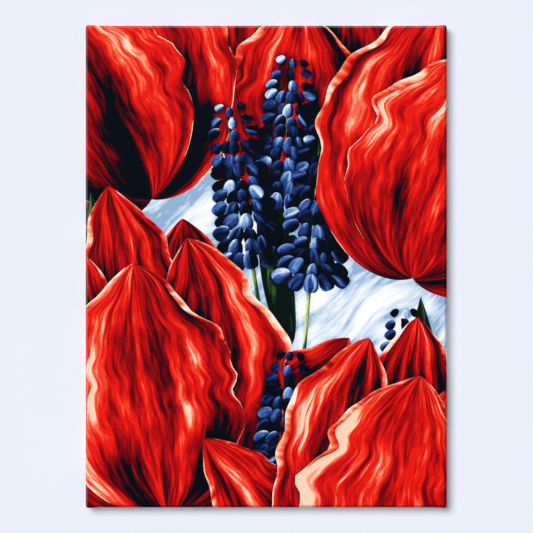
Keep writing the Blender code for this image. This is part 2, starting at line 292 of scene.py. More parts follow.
class Blade:
    """A petal, a leaf or a bell: an axis that bends evenly, with a half width that changes along it.

    Its own coordinates are s, from -1 on its right edge to 1 on its left edge, and t, from 0 at its base
    to 1 at its tip.
    """

    def __init__(self, kind, base, heading, length, half_width, bend, swell, taper, seed, tone, light,
                 ruffle=0.0, base_shade=BASE_SHADE):
        self.kind = kind
        self.heading = heading
        self.length = length
        self.half_width = half_width
        self.bend = bend if abs(bend) > LEAST_BEND else LEAST_BEND
        self.swell = swell
        self.taper = taper
        self.seed = seed
        self.tone = tone
        self.ruffle = ruffle
        self.light = light
        self.base_shade = base_shade
        self.radius = length / self.bend
        self.hub = np.array(base, float) + self.radius * unit(heading + math.pi / 2)

    def edge(self, side, t):
        """The half width at t on one side, 1 for left and -1 for right, with its waves."""
        widest = self.swell / (self.swell + self.taper)
        full = widest**self.swell * (1 - widest) ** self.taper
        t = np.clip(t, 0, 1)
        plain = self.half_width * t**self.swell * (1 - t) ** self.taper / full
        phase = self.seed * 37 + side * 2.1
        waves = sum(size * np.sin(turns * t + share * phase) for size, turns, share in RUFFLE_WAVES)
        return plain * (1 + self.ruffle * waves * np.clip(3 * t - 0.6, 0, 1))

    def place(self, s, t):
        """The picture's points at (s, t)."""
        s, t = np.asarray(s, float), np.asarray(t, float)
        across = s * np.where(s >= 0, self.edge(1, t), self.edge(-1, t))
        normal = self.heading + self.bend * t + math.pi / 2
        reach = (across - self.radius)[:, None]
        return self.hub + reach * np.stack((np.cos(normal), np.sin(normal)), 1)

    def own(self, points):
        """(s, t) of the picture's points."""
        sign = math.copysign(1, self.radius)
        away = -sign * (points - self.hub)
        normal = np.arctan2(away[:, 1], away[:, 0])
        turn = (normal - math.pi / 2 - self.heading - self.bend / 2 + math.pi) % (2 * math.pi) - math.pi
        t = np.clip((turn + self.bend / 2) / self.bend, 0, 1)
        across = self.radius - sign * np.hypot(away[:, 0], away[:, 1])
        edge = np.where(across >= 0, self.edge(1, t), self.edge(-1, t))
        return np.clip(across / np.maximum(edge, 1e-5), -1, 1), t

    def outline(self):
        steps = max(12, int(self.length / OUTLINE_STEP))
        t = (1 - np.cos(np.linspace(0, math.pi, steps + 1))) / 2
        ones = np.ones_like(t)
        return np.concatenate((self.place(ones, t), self.place(-ones, t)[::-1][1:-1]))

    def facts(self, points):
        """Across and along in metres, tone, and distance from the edge, at the picture's points."""
        s, t = self.own(points)
        edge = np.where(s >= 0, self.edge(1, t), self.edge(-1, t))
        tone = self.tone - self.base_shade * (1 - np.clip(t / BASE_REACH, 0, 1)) ** 1.5
        tone = tone + self.light * s - 0.10 * s**2
        # At the base and the tip, where the sides come together, there is no rim
        ends = smooth((np.abs(2 * t - 1) - 0.80) / 0.18)
        return s * self.half_width, t * self.length, tone, (1 - np.abs(s)) * edge + NO_RIM * ends


class Lip:
    """The rolled-over part of a petal's edge, between two places along it."""

    kind = LIP

    def __init__(self, blade, side, first, last, width, tone):
        self.blade = blade
        self.side = side
        self.first = first
        self.last = last
        self.width = width
        self.tone = tone
        self.seed = blade.seed + 0.37 * side + 0.11

    def share(self, t):
        """How much of the half width the lip takes at t."""
        run = np.clip((t - self.first) / (self.last - self.first), 0, 1)
        waves = 1 + 0.3 * np.sin(19 * t + self.seed * 50) + 0.2 * np.sin(43 * t + self.seed * 91)
        wide = self.width * np.sin(math.pi * run) ** 0.6 * waves
        return np.clip(wide / np.maximum(self.blade.edge(self.side, t), 1e-4), 0, 0.8)

    def outline(self):
        steps = max(8, int((self.last - self.first) * self.blade.length / LIP_STEP))
        t = np.linspace(self.first, self.last, steps + 1)
        rim = self.blade.place(np.full_like(t, self.side), t)
        fold = self.blade.place(self.side * (1 - self.share(t)), t)
        return np.concatenate((rim, fold[::-1][1:-1]))

    def facts(self, points):
        s, t = self.blade.own(points)
        share = np.maximum(self.share(t), 1e-3)
        out = np.clip((np.abs(s) - 1 + share) / share, 0, 1)
        edge = self.blade.edge(self.side, t)
        tone = self.tone + 0.35 * (out - 0.4)
        return t * self.blade.length * 0.6, out * share * edge, tone, (1 - np.abs(s)) * edge


def tulip(base, heading, height, seed, tone, flared=()):
    """An open flower seen from its side, from its back petals to its front one.

    The flared petals stand out on the sides given: 1 for the left and -1 for the right.
    """
    draw = np.random.default_rng(int(seed * 10))
    shapes = []

    def petal(turn, long, wide, bend, lift, light):
        turn, long, wide, bend = np.array((turn, long, wide, bend)) * draw.uniform(0.95, 1.05, 4)
        blade = Blade(PETAL, base, heading + turn, height * long, height * wide, bend=bend, swell=0.60,
                      taper=0.80, seed=seed + len(shapes) * 0.73, tone=tone + lift, light=light,
                      ruffle=PETAL_RUFFLE)
        shapes.append(blade)
        return blade

    def lip(blade, side, first, last, wide, lift=0.5):
        shapes.append(Lip(blade, side, first, last, height * wide, lift))

    backs = ((0.34, 1.02, -0.30, -0.12), (-0.38, 0.98, 0.34, -0.16), (0.0, 1.10, 0.06, -0.06))
    for turn, long, bend, lift in backs:
        back = petal(turn, long, 0.25, bend, lift, 0.08)
        lip(back, 1, 0.60, 0.985, 0.018)
        lip(back, -1, 0.75, 0.985, 0.014, 0.4)
    for side in flared:
        outer = petal(1.05 * side, 0.88, 0.20, -0.25 * side, -0.02, 0.08 * side)
        lip(outer, side, 0.25, 0.97, 0.022)
        lip(outer, -side, 0.70, 0.98, 0.016, 0.4)
    for side, light in ((1, 0.10), (-1, -0.04)):
        cup = petal(0.66 * side, 1.02, 0.27, -0.92 * side, 0.0, light)
        lip(cup, side, 0.42, 0.985, 0.024)
        lip(cup, -side, 0.66, 0.985, 0.018, 0.45)
    front = petal(0.06, 0.88, 0.33, -0.14, 0.05, 0.10)
    lip(front, 1, 0.52, 0.985, 0.028)
    lip(front, -1, 0.60, 0.985, 0.020)
    return shapes


def leaf(base, heading, length, half_width, bend, seed, tone):
    return [Blade(LEAF, base, heading, length, half_width, bend=bend, swell=0.5, taper=0.9, seed=seed,
                  tone=tone, light=0.10, ruffle=0.01)]


def stem(base, heading, length, half_width, bend, seed):
    return [Blade(LEAF, base, heading, length, half_width, bend=bend, swell=0.03, taper=0.03, seed=seed,
                  tone=0.42, light=0.22)]


def bluebells(base, heading, length, seed):
    """A spike of small bells round a stem, the lower ones in front."""
    axis, across = unit(heading), unit(heading + math.pi / 2)
    draw = np.random.default_rng(int(seed * 1000))
    base = np.array(base)
    shapes = stem(base - axis * length, heading, length * 1.9, 0.0024, 0.02, seed)
    rows = 13
    for row in range(rows):
        t = 1 - row / (rows - 1)
        around = 0.010 + 0.022 * math.sqrt(1 - t)
        size = 0.012 + 0.012 * (1 - t) ** 0.7
        count = 5 if row > 2 else 3
        middle = (count - 1) / 2
        for place in sorted(range(count), key=lambda p: -abs(p - middle)):
            aside = (place - middle) / middle
            top = base + axis * length * (0.12 + 0.84 * t) + across * aside * around * 0.8
            top = top + draw.normal(0, 0.0014, 2)
            lean = heading + math.pi - aside * 1.05 + draw.normal(0, 0.14)
            bell_tone = 0.47 - 0.14 * abs(aside) + draw.normal(0, 0.06) + 0.10 * aside
            shapes.append(Blade(BELL, top, lean, size, size * 0.40, bend=0.25 * aside, swell=0.45,
                                taper=0.30, seed=seed + row * 0.31 + place * 0.17, tone=bell_tone,
                                light=-0.16, base_shade=-0.15))
    return shapes


def picture():
    """Every shape of the picture, from the back to the front."""
    shapes = []
    shapes += leaf((0.05, -0.02), 1.25, 0.42, 0.032, 0.35, 11.0, 0.5)
    shapes += leaf((-0.24, -0.10), 1.95, 0.30, 0.034, 0.3, 12.0, 0.46)
    shapes += leaf((0.03, -0.10), 1.80, 0.30, 0.020, -0.3, 13.0, 0.46)
    shapes += tulip((0.030, 0.080), 1.52, 0.30, 25.0, 0.40)
    shapes += tulip((-0.145, 0.085), 2.02, 0.35, 21.0, 0.46)
    shapes += bluebells((0.028, 0.070), 1.55, 0.20, 3.1)
    shapes += bluebells((-0.015, -0.005), 1.72, 0.22, 4.2)
    shapes += bluebells((0.055, -0.035), 1.48, 0.22, 4.9)
    shapes += tulip((0.185, -0.015), 1.25, 0.36, 22.0, 0.50)
    shapes += leaf((-0.27, -0.40), 1.25, 0.50, 0.042, 0.45, 14.0, 0.42)
    shapes += bluebells((0.185, -0.245), 1.62, 0.20, 6.4)
    shapes += tulip((-0.125, -0.315), 1.72, 0.37, 23.0, 0.50, (-1,))
    shapes += bluebells((0.020, -0.31), 1.52, 0.21, 5.3)
    shapes += leaf((0.27, -0.45), 1.90, 0.42, 0.040, -0.3, 15.0, 0.40)
    shapes += tulip((0.140, -0.430), 1.40, 0.34, 24.0, 0.52, (1,))
    return shapes


def near(points, outline, margin):
    """The numbers of the points in the box of an outline, or at most the margin outside it."""
    low, high = outline.min(0) - margin, outline.max(0) + margin
    return np.flatnonzero(((points >= low) & (points <= high)).all(1))


def inside(points, outline):
    """Which points lie inside a closed outline."""
    within = np.zeros(len(points), bool)
    for (x0, y0), (x1, y1) in zip(outline, np.roll(outline, -1, 0)):
        if y0 != y1:
            crosses = (y0 > points[:, 1]) != (y1 > points[:, 1])
            within ^= crosses & (points[:, 0] < x0 + (points[:, 1] - y0) * (x1 - x0) / (y1 - y0))
    return within


def distance_to(points, outline):
    """The distance of each point from an outline."""
    nearest = np.full(len(points), 1.0)
    for start, end in zip(outline, np.roll(outline, -1, 0)):
        along = end - start
        share = np.clip((points - start) @ along / max(along @ along, 1e-12), 0, 1)
        gap = points - start - share[:, None] * along
        nearest = np.minimum(nearest, np.hypot(gap[:, 0], gap[:, 1]))
    return nearest


# The flat cloth and its folds
def over_band(q):
    """How cloth goes over the front's band: its way outwards and its way back."""
    first = np.clip(q, 0, BEND_ARC) / BEND
    slope = np.clip(q - BEND_ARC, 0, SLOPE) * math.sqrt(0.5)
    second = math.pi / 4 + np.clip(q - SLOPE_END, 0, BEND_ARC) / BEND
    outwards = BEND * (np.sin(first) + np.sin(second) - math.sqrt(0.5)) + slope
    back = BEND * (1 - np.cos(first) + math.sqrt(0.5) - np.cos(second)) + slope
    return outwards, back


def over_edge(q):
    """How cloth goes over an edge: its way outwards and its y, at a distance q along it."""
    outwards, front = over_band(q)
    side = np.clip(q - FRONT_ARC, 0, SIDE_RUN)
    back = np.clip(q - SIDE_END, 0, BACK_ARC) / BACK_RADIUS
    flap = np.maximum(q - FLAP_START, 0)
    y = FRONT_Y + front + side + BACK_RADIUS * np.sin(back)
    return outwards - BACK_RADIUS * (1 - np.cos(back)) - flap, y


def off_edge(q):
    """The direction square to that cloth and away from the wood, outwards and along y."""
    turns = (0, math.pi / 4, math.pi / 4, math.pi / 2)
    front = np.interp(q, (0, BEND_ARC, SLOPE_END, FRONT_ARC), turns)
    back = np.clip(q - SIDE_END, 0, BACK_ARC) / BACK_RADIUS
    return np.sin(front) * np.cos(back), np.sin(back) - np.cos(front)


def turn_radius(q):
    """How far the cloth of an edge lies from the axis of the corner, for its way round the corner."""
    return over_band(q)[0]


# The distances past the flat front at which the grid has a line
OVER = np.concatenate((
    [BEND_ARC / 2, BEND_ARC, BEND_ARC + SHARP, BEND_ARC + SLOPE / 2, SLOPE_END - SHARP, SLOPE_END],
    [SLOPE_END + BEND_ARC / 2, FRONT_ARC, FRONT_ARC + SHARP],
    np.linspace(FRONT_ARC, SIDE_END, 4)[1:],
    np.linspace(SIDE_END, FLAP_START, 4)[1:],
    [FLAP_START + line for line in FLAP_LINES],
    np.linspace(PRINT_END, CUT_EDGE - CUT_LINE, 4),
    [CUT_EDGE],
))
# For each of them, how far past the flat front the upper layer turns under and the lower layer ends
FOLD_EDGE = FOLD_TURN * turn_radius(OVER) - np.maximum(OVER - FLAP_START, 0)
TONGUE_EDGE = turn_radius(OVER) * math.pi / 2
TONGUE_EDGE += TONGUE * smooth(OVER / FRONT_ARC) * smooth((FLAP_START - OVER) / TONGUE_RUN)
HEM_WIDTH = HEM * smooth(OVER / (2 * FRONT_ARC))


def fold_edge(q):
    """Where the cloth of the top or bottom turns under, past the flat part of the front."""
    return np.interp(q, np.concatenate(([0], OVER)), np.concatenate(([0], FOLD_EDGE)))


def hem_width(q):
    """How much cloth is turned under there."""
    return np.interp(q, np.concatenate(([0], OVER)), np.concatenate(([0], HEM_WIDTH)))


def tongue_edge(p):
    """Where the cloth of a side ends, past the flat part of the front."""
    return np.interp(p, np.concatenate(([0], OVER)), np.concatenate(([0], TONGUE_EDGE)))


def grid_lines(half):
    """The grid's lines across the cloth, from its middle out to both cut edges."""
    inner = np.linspace(SHARP - half, half - SHARP, 2 * round(half / GRID) + 1)
    return np.concatenate((-half - OVER[::-1], [-half], inner, [half], half + OVER))


def corner_lines():
    """The lines that the cloth of one corner is cut and folded along."""
    lines = []
    for bend in (0, 0.5, 1, 1.5, 2, 3):
        lines.append(np.stack((FOLD_EDGE + bend * HEM_RADIUS, OVER), 1))
    lines.append(np.stack((FOLD_EDGE + HEM_WIDTH, OVER), 1))
    for share in (1 / 6, 1 / 3, 1 / 2, 2 / 3, 5 / 6, 1):
        lines.append(np.stack((OVER, share * turn_radius(OVER) * math.pi / 2), 1))
    lines.append(np.stack((OVER, TONGUE_EDGE), 1))
    return lines


def flat_cloth(shapes):
    """The flat cloth as triangles that follow every outline of the picture and every fold."""
    us, vs = grid_lines(HALF_U), grid_lines(HALF_V)
    points = [(u, v) for v in vs for u in us]
    across, up = len(us), len(vs)
    folded = len(OVER)
    edges = []
    for j in list(range(folded + 1)) + list(range(up - folded - 1, up)):
        edges += [(j * across + i, j * across + i + 1) for i in range(across - 1)]
    for i in list(range(folded + 1)) + list(range(across - folded - 1, across)):
        edges += [(j * across + i, (j + 1) * across + i) for j in range(up - 1)]

    def add(line, closed):
        start = len(points)
        points.extend(map(tuple, line))
        edges.extend((start + i, start + i + 1) for i in range(len(line) - 1))
        if closed:
            edges.append((start + len(line) - 1, start))

    for shape in shapes:
        add(shape.outline(), True)
    for sign_u, sign_v in CORNER_SIGNS:
        for line in corner_lines():
            add((line + (HALF_U, HALF_V)) * (sign_u, sign_v), False)
    result = delaunay_2d_cdt([Vector(p) for p in points], edges, [], 0, SAME_POINT)
    corners = np.array([tuple(p) for p in result[0]])
    triangles = np.array(result[2])
    middle = np.abs(corners[triangles].mean(1))
    kept = (middle[:, 0] < HALF_U + CUT_EDGE) & (middle[:, 1] < HALF_V + CUT_EDGE)
    return corners, triangles[kept]


def staple_places():
    """The middle of each staple, as x and z."""
    boxes = [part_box(name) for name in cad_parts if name.startswith("staple_")]
    return np.array([((low.x + high.x) / 2, (low.z + high.z) / 2) for low, high in boxes])


def puff(x, z):
    """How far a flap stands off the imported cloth's back: least under a staple."""
    least = np.full(len(x), 1.0)
    for place in staple_places():
        square = (x - place[0]) ** 2 + (z + CENTRE_Z - place[1]) ** 2
        least = np.minimum(least, 1 - np.exp(-square / (2 * STAPLE_SPREAD**2)))
    return FLAP_REST + PUFF * least


def waver(x, seed, size):
    """A small smooth unevenness along x, between about -1 and 1."""
    x = x / size
    waves = np.sin(x + seed) + 0.6 * np.sin(2.3 * x + 2 * seed)
    return (waves + 0.4 * np.sin(5.1 * x + 3 * seed)) / 1.6


def at_the_cut(q):
    """0 where the print ends and 1 at the cut edge."""
    return smooth((q - PRINT_END) / (CUT_EDGE - PRINT_END))


def lower_layer(corners):
    """The places of the front and of the cloth of the two sides, which goes round the corners."""
    u, v = np.abs(corners).T
    sign_u, sign_v = np.sign(corners).T
    p, q = np.maximum(u - HALF_U, 0), np.maximum(v - HALF_V, 0)
    outwards, y = over_edge(p)
    reach = np.maximum(turn_radius(p), 1e-9)
    angle = np.minimum(q / reach, math.pi / 2)
    past = q - angle * reach
    x = np.minimum(u, HALF_U) + np.where(outwards > 0, outwards * np.cos(angle), outwards) - past
    high = np.where(p > FLAP_START, EDGE - BACK_RADIUS, outwards)
    z = np.where(q > 0, HALF_V + high * np.sin(angle), v)
    flap = smooth((p - SIDE_END) / (BACK_ARC + SETTLE))
    covered = smooth((z - HALF_V + EDGE - (x - HALF_U)) / MITRE_RUN + 0.2)
    x, z = x * sign_u, z * sign_v
    y = y + flap * (puff(x, z) * (1 - covered) - FLAP_PRESS * covered)
    x = x - sign_u * flap * at_the_cut(p) * CUT_WAVER * waver(z, 1.0, CUT_WAVER_SIZE)
    return x, y, z


def upper_layer(corners):
    """The places of the cloth of the top and bottom, with its ends turned under."""
    u, v = np.abs(corners).T
    sign_u, sign_v = np.sign(corners).T
    q = np.maximum(v - HALF_V, 0)
    outwards, y = over_edge(q)
    past = u - HALF_U - fold_edge(q)
    hem = np.maximum(past, 0)
    bend = np.minimum(hem / HEM_RADIUS, math.pi)
    forward = HEM_RADIUS * (np.sin(bend) + bend) - hem
    drop = HEM_RADIUS * (1 - np.cos(bend))
    p = np.minimum(u - HALF_U, fold_edge(q)) + forward
    reach = np.maximum(turn_radius(q), 1e-9)
    angle = np.clip(p / reach, 0, MOST_TURN)
    on_side = np.where(q > FLAP_START, EDGE - BACK_RADIUS, outwards)
    flap_run = np.where(q > FLAP_START, q - FLAP_START, 0)
    x = HALF_U + np.where(p > 0, on_side * np.sin(angle), p)
    z = HALF_V + np.where(p > 0, on_side * np.cos(angle), on_side) - flap_run
    flap = smooth((q - SIDE_END) / (BACK_ARC + SETTLE))
    rise = smooth((past + FOLD_RUN) / (FOLD_RUN - TONGUE))
    rest = puff(x * sign_u, z * sign_v)
    lift = rise * ((1 - flap) * FOLD_LIFT * smooth(q / FRONT_ARC) + flap * FLAP_LIFT)
    lift = lift - drop + flap * rest
    away, back = off_edge(q)
    turn = np.where(p > 0, angle, 0)
    x = x + lift * away * np.sin(turn)
    z = z + lift * away * np.cos(turn)
    y = y + lift * back
    z = z - flap * at_the_cut(q) * CUT_WAVER * waver(x, 2.0, CUT_WAVER_SIZE)
    return x * sign_u, y, z * sign_v


def fold_cloth(corners, triangles):
    """The folded cloth's points, its triangles, and which of the flat triangles each one is."""
    middle = np.abs(corners[triangles].mean(1))
    p, q = middle[:, 0] - HALF_U, middle[:, 1] - HALF_V
    lower = (q < 0) | ((p > 0) & (q < tongue_edge(p)))
    upper = (q > 0) & (p < fold_edge(q) + hem_width(q))
    points = np.concatenate([np.stack(layer(corners), 1) for layer in (lower_layer, upper_layer)])
    points[:, 2] += CENTRE_Z
    folded = np.concatenate((triangles[lower], triangles[upper] + len(corners)))
    source = np.concatenate((np.flatnonzero(lower), np.flatnonzero(upper)))
    rounded = np.round(points * 1e7).astype(np.int64)[folded].reshape(-1, 3)
    used, numbers = np.unique(rounded, axis=0, return_inverse=True)
    folded = numbers.reshape(-1, 3)
    first, second, third = folded.T
    whole = (first != second) & (second != third) & (third != first)
    return used / 1e7, folded[whole], source[whole]


def paint(corners, triangles, shapes):
    """What the shader needs at each corner of each flat triangle: three vectors."""
    middle = corners[triangles].mean(1)
    top = np.full(len(triangles), -1)
    outlines = [shape.outline() for shape in shapes]
    for number, outline in enumerate(outlines):
        index = near(middle, outline, 0)
        top[index[inside(middle[index], outline)]] = number
    points = corners[triangles.ravel()]
    owner = np.repeat(top, 3)
    flow = np.zeros((len(points), 3))
    form = np.zeros((len(points), 3))
    kind = np.full(len(points), GROUND)
    flow[:, 0] = points @ unit(GROUND_ACROSS)
    flow[:, 1] = points @ unit(GROUND_ALONG)
    form[:, 0] = GROUND_TONE
    form[:, 1] = 1.0
    for number, shape in enumerate(shapes):
        mine = np.flatnonzero(owner == number)
        if len(mine):
            across, along, tone, rim = shape.facts(points[mine])
            flow[mine] = np.stack((across, along, np.full(len(mine), shape.seed)), 1)
            form[mine, 0] = tone
            form[mine, 1] = rim
            kind[mine] = shape.kind
        if shape.kind in SHADE_SPREAD:
            spread = SHADE_SPREAD[shape.kind]
            shifted = points + spread * SHADE_SHIFT * unit(SHADE_DIRECTION)
            index = near(shifted, outlines[number], spread * 3)
            index = index[owner[index] < number]
            distance = distance_to(shifted[index], outlines[number])
            distance[inside(shifted[index], outlines[number])] = 0
            form[index, 2] = np.maximum(form[index, 2], np.exp(-distance / spread))
    beyond = (np.abs(middle) > (HALF_U + PRINT_END, HALF_V + PRINT_END)).any(1)
    kind[np.repeat(beyond, 3)] = MARGIN
    return flow, form, np.concatenate((points, kind[:, None]), 1)


# The inks of each kind, from dark to light, each with the value at which it starts
PETAL_INKS = (
    (0.0, (3, 8, 20)), (0.005, (64, 2, 14)), (0.11, (102, 3, 13)), (0.20, (132, 5, 13)),
    (0.285, (158, 7, 14)), (0.365, (188, 11, 15)), (0.445, (214, 16, 16)), (0.53, (236, 28, 18)),
    (0.665, (246, 62, 38)), (0.76, (250, 108, 78)), (0.845, (253, 160, 128)), (0.92, (255, 214, 186)),
)
LIP_INKS = (
    (0.0, (150, 8, 12)), (0.17, (204, 18, 18)), (0.28, (236, 40, 26)), (0.39, (246, 84, 54)),
    (0.50, (251, 132, 98)), (0.61, (254, 180, 148)), (0.71, (255, 216, 188)), (0.82, (255, 240, 224)),
)
LEAF_INKS = (
    (0.0, (6, 20, 18)), (0.2, (20, 48, 30)), (0.33, (44, 84, 38)), (0.45, (78, 120, 48)),
    (0.57, (124, 158, 66)), (0.70, (178, 198, 112)), (0.84, (228, 232, 178)),
)
BELL_INKS = (
    (0.0, (3, 8, 20)), (0.20, (8, 18, 48)), (0.31, (18, 38, 88)), (0.42, (34, 64, 128)),
    (0.53, (66, 102, 172)), (0.64, (112, 148, 206)), (0.75, (168, 198, 234)), (0.87, (228, 240, 252)),
)
GROUND_INKS = (
    (0.0, (150, 180, 214)), (0.25, (190, 212, 236)), (0.38, (216, 230, 246)), (0.5, (234, 242, 251)),
    (0.6, (246, 250, 254)), (0.72, (255, 255, 255)),
)
RIM_INK = (255, 224, 198)
RIM_GLOW = 0.010  # how wide the paler band along a petal's edge is


def printed_canvas():
    """The print: strokes that follow each shape, in the inks of its kind, on a woven cloth."""
    tree = Tree("printed_canvas")
    across, along, seed = tree.parts(tree.attribute("flow"))
    tone, rim, shade = tree.parts(tree.attribute("form"))
    u, v, kind = tree.parts(tree.attribute("cloth"))
    sway = tree.grain(across, along, seed, (0.05, 0.08, 0.07), detail=0.0)
    across = tree.total((across, 1.0), (sway, 0.012))
    folds = tree.grain(across, along, seed, (0.028, 0.17, 0.11), detail=0.0)
    strokes = tree.grain(across, along, seed, (0.0085, 0.055, 0.13), detail=0.0, distortion=0.5)
    fine = tree.grain(across, along, seed, (0.0034, 0.020, 0.17), detail=0.0, distortion=0.5)
    value = tree.total((tone, 1.0), (folds, 0.74), (strokes, 0.36), (fine, 0.22), (shade, -0.38))
    glow = tree.math("MULTIPLY_ADD", rim, -1 / RIM_GLOW, 1.0, clamp=True)
    edged = tree.total((value, 1.0), (glow, 0.30))
    width = tree.total((strokes, 0.0022), (folds, 0.0018), (0.0009, 1.0))
    lit = tree.math("LESS_THAN", rim, width)
    petal = tree.mix(lit, tree.inks(edged, PETAL_INKS), linear(*RIM_INK))
    colour = tree.inks(value, GROUND_INKS)
    for number, painted in (
        (PETAL, petal),
        (LIP, tree.inks(value, LIP_INKS)),
        (LEAF, tree.inks(value, LEAF_INKS)),
        (BELL, tree.inks(value, BELL_INKS)),
    ):
        colour = tree.mix(tree.math("GREATER_THAN", kind, number - 0.5), colour, painted)
    bare = tree.grain(u, v, 0.0, (0.004, WEAVE_PITCH, 1.0))
    margin = tree.ramp(tree.math("MULTIPLY_ADD", bare, 0.5, 0.5), ((222, 219, 208), (243, 241, 233)))
    colour = tree.mix(tree.math("GREATER_THAN", kind, MARGIN - 0.5), colour, margin)
    roughness = tree.math("MULTIPLY_ADD", fine, 0.04, 0.50)
    return tree.surface(Base_Color=colour, Roughness=roughness, Normal=weave(tree, u, v, 0.00005),
                        Specular_IOR_Level=0.02, Sheen_Weight=0.10, Sheen_Roughness=0.3)


def weave(tree, u, v, depth):
    """A plain weave: threads along u and along v that pass over each other in turn."""
    threads = []
    for along, across in ((u, v), (v, u)):
        wobble = tree.grain(u, v, 0.0, (0.006, 0.006, 1.0))
        place = tree.math("MULTIPLY_ADD", wobble, WEAVE_WOBBLE, across)
        round_thread = tree.math("COSINE", tree.math("MULTIPLY", place, 2 * math.pi / WEAVE_PITCH))
        over = tree.math("SINE", tree.math("MULTIPLY", along, math.pi / WEAVE_PITCH))
        under = tree.math("SINE", tree.math("MULTIPLY", place, math.pi / WEAVE_PITCH))
        threads.append(tree.total((round_thread, 0.35), (tree.math("MULTIPLY", over, under), 0.3)))
    height = tree.math("MAXIMUM", threads[0], threads[1])
    slubs = tree.grain(u, v, 0.0, (0.012, 0.0008, 1.0), detail=2.0)
    return tree.bump(tree.total((height, 1.0), (slubs, 0.35)), depth)


def raw_canvas():
    tree = Tree("raw_canvas")
    u, v, _ = tree.parts(tree.attribute("cloth"))
    warp = tree.grain(u, v, 0.0, (WEAVE_PITCH, 0.02, 1.0), detail=2.0)
    weft = tree.grain(u, v, 3.0, (0.02, WEAVE_PITCH, 1.0), detail=2.0)
    cloud = tree.grain(u, v, 5.0, (0.08, 0.08, 1.0))
    seeds = tree.grain(u, v, 9.0, (0.003, 0.003, 1.0), detail=1.0)
    value = tree.total((warp, 0.35), (weft, 0.35), (cloud, 0.2), (0.5, 1.0))
    cotton = tree.ramp(value, ((205, 192, 164), (226, 216, 192), (240, 233, 214)))
    speck = tree.math("GREATER_THAN", seeds, 0.62)
    cotton = tree.mix(tree.math("MULTIPLY", speck, 0.45), cotton, linear(150, 122, 84))
    return tree.surface(Base_Color=cotton, Roughness=0.92, Specular_IOR_Level=0.15, Sheen_Weight=0.15,
                        Normal=weave(tree, u, v, 0.00010))


def thread():
    tree = Tree("cotton_thread")
    x, y, z = tree.place()
    twist = tree.grain(x, y, z, (0.0004, 0.0004, 0.0004))
    colour = tree.ramp(tree.math("MULTIPLY_ADD", twist, 0.5, 0.5), ((206, 200, 184), (244, 241, 232)))
    return tree.surface(Base_Color=colour, Roughness=0.9, Specular_IOR_Level=0.1,
                        Normal=tree.bump(twist, 0.00003))


def wood(name, lengthwise, pale, mid, dark, ring=0.0045, knots=0.0):
    """Planed wood with its grain along x or z."""
    tree = Tree(name)
    x, y, z = tree.place()
    along, across = (x, z) if lengthwise == "x" else (z, x)
    drift = tree.grain(along, across, y, (0.20, 0.04, 0.04), detail=1.0)
    sideways = tree.total((across, 1.0), (y, 0.6), (drift, 0.014))
    rings = tree.math("POWER", tree.math("FRACT", tree.math("DIVIDE", sideways, ring)), 2.5)
    fibres = tree.grain(along, across, y, (0.035, 0.0006, 0.0006), detail=3.0)
    streaks = tree.grain(along, across, y, (0.12, 0.004, 0.004), detail=2.0)
    value = tree.total((rings, -0.34), (fibres, 0.24), (streaks, 0.35), (0.62, 1.0))
    if knots:
        spot = tree.grain(along, across, y, (0.035, 0.012, 0.02), detail=0.0)
        inner = tree.math("MULTIPLY_ADD", spot, 9.0, -9.0 * knots, clamp=True)
        value = tree.total((value, 1.0), (inner, -0.45))
    colour = tree.ramp(value, (dark, mid, pale), (0.08, 0.42, 0.85))
    height = tree.total((fibres, 0.6), (rings, 0.3))
    return tree.surface(Base_Color=colour, Roughness=0.68, Specular_IOR_Level=0.3,
                        Normal=tree.bump(height, 0.00006))


def metal(name, colour, worn, roughness):
    tree = Tree(name)
    x, y, z = tree.place()
    cloud = tree.grain(x, y, z, (0.002, 0.002, 0.002), detail=3.0)
    scratch = tree.grain(x, y, z, (0.006, 0.0003, 0.0003), detail=2.0)
    value = tree.total((cloud, 0.5), (scratch, 0.3), (0.5, 1.0))
    rough = tree.math("MULTIPLY_ADD", cloud, 0.12, roughness)
    return tree.surface(Base_Color=tree.ramp(value, (worn, colour)), Metallic=1.0, Roughness=rough,
                        Normal=tree.bump(scratch, 0.00001))


def rubber():
    tree = Tree("bumper_rubber")
    x, y, z = tree.place()
    dust = tree.grain(x, y, z, (0.0006, 0.0006, 0.0006), detail=2.0)
    value = tree.math("MULTIPLY_ADD", dust, 0.5, 0.5)
    return tree.surface(Base_Color=tree.ramp(value, ((58, 58, 60), (78, 78, 80))), Roughness=0.8,
                        Normal=tree.bump(dust, 0.00003))


def new_object(name, mesh):
    piece = bpy.data.objects.new(name, mesh)
    bpy.context.scene.collection.objects.link(piece)
    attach(piece, "root")
    return piece


def make_cloth():
    shapes = picture()
    corners, triangles = flat_cloth(shapes)
    points, folded, source = fold_cloth(corners, triangles)
    mesh = bpy.data.meshes.new("canvas_cloth")
    mesh.from_pydata(points.tolist(), [], folded.tolist())
    for name, values in zip(("flow", "form", "cloth"), paint(corners, triangles, shapes)):
        layer = mesh.attributes.new(name, "FLOAT_VECTOR", "CORNER")
        values = values.reshape(-1, 3, 3)[source]
        layer.data.foreach_set("vector", values.ravel())
    mesh.shade_smooth()
    mesh.materials.append(printed_canvas())
    mesh.materials.append(raw_canvas())
    piece = new_object("canvas_cloth", mesh)
    thick = piece.modifiers.new("thickness", "SOLIDIFY")
    thick.thickness = CLOTH
    thick.offset = -1
    thick.material_offset = 1
    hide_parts("canvas")
    return piece


